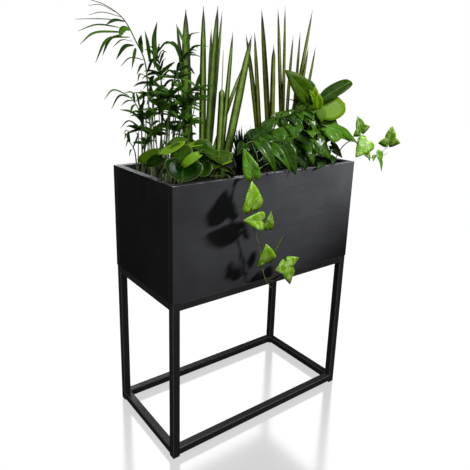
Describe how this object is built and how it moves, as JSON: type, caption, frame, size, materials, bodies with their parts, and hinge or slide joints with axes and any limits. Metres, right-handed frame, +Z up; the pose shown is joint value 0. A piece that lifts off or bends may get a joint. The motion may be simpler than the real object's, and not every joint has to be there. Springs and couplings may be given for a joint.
{
  "type": "raised planter on legs",
  "caption": "Rectangular board planter box on a slim square-tube stand, with a lift-out liner of soil and mixed green house plants.",
  "frame": {"origin": "centre of the footprint, on the floor", "axes": "+Z up; +X along the long front, to the right of someone facing it; the front faces -Y"},
  "size_m": [0.9026, 0.3771, 1.131],
  "materials": {
    "stand_steel": "black powder coat, matt",
    "foot_plastic": "matt",
    "box_board": "black stained board, matt",
    "base_board": "black stained board, matt",
    "corner_batten": "raw, dark",
    "screw_zinc": "zinc plated",
    "liner_plastic": "gloss",
    "soil": "crumbly, matt",
    "sword_leaf": "waxy leaf",
    "sword_leaf_olive": "waxy leaf",
    "palm_leaf": "satin leaf",
    "peperomia_leaf": "glossy leaf",
    "pothos_leaf": "glossy leaf",
    "rubber_plant_leaf": "leathery leaf",
    "tuft_leaf": "satin leaf",
    "ivy_leaf": "satin leaf"
  },
  "bodies": {
    "planter": {"leg_front_left": "stand_steel", "leg_front_right": "stand_steel", "leg_back_left": "stand_steel", "leg_back_right": "stand_steel", "foot_front_left": "foot_plastic", "foot_front_right": "foot_plastic", "foot_back_left": "foot_plastic", "foot_back_right": "foot_plastic", "rail_top_front": "stand_steel", "rail_top_back": "stand_steel", "rail_top_left": "stand_steel", "rail_top_right": "stand_steel", "rail_bottom_front": "stand_steel", "rail_bottom_back": "stand_steel", "rail_bottom_left": "stand_steel", "rail_bottom_right": "stand_steel", "panel_front": "box_board", "panel_back": "box_board", "panel_left": "box_board", "panel_right": "box_board", "panel_base": "base_board", "corner_block_front_left": "corner_batten", "corner_block_front_right": "corner_batten", "corner_block_back_left": "corner_batten", "corner_block_back_right": "corner_batten", "screw_front_left": "screw_zinc", "screw_front_right": "screw_zinc", "screw_back_left": "screw_zinc", "screw_back_right": "screw_zinc"},
    "insert": {"liner": "liner_plastic", "soil": "soil", "sword_plant_left_1": "sword_leaf", "sword_plant_left_2": "sword_leaf", "sword_plant_left_3": "sword_leaf", "sword_plant_right_1": "sword_leaf_olive", "sword_plant_right_2": "sword_leaf_olive", "sword_plant_right_3": "sword_leaf_olive", "sword_plant_right_4": "sword_leaf_olive", "sword_plant_right_5": "sword_leaf_olive", "palm_frond_arching": "palm_leaf", "palm_frond_upright": "palm_leaf", "palm_frond_right_high": "palm_leaf", "palm_frond_right_low": "palm_leaf", "palm_frond_left_high": "palm_leaf", "palm_frond_left_low": "palm_leaf", "palm_frond_front": "palm_leaf", "palm_frond_back": "palm_leaf", "peperomia": "peperomia_leaf", "pothos": "pothos_leaf", "rubber_plant": "rubber_plant_leaf", "grass_tuft": "tuft_leaf", "ivy_front": "ivy_leaf", "ivy_right": "ivy_leaf"}
  },
  "joints": [
    {"name": "insert_lift", "type": "slide", "parent": "planter", "child": "insert", "axis": [0, 0, 1], "range_m": [0, 0.3]}
  ]
}
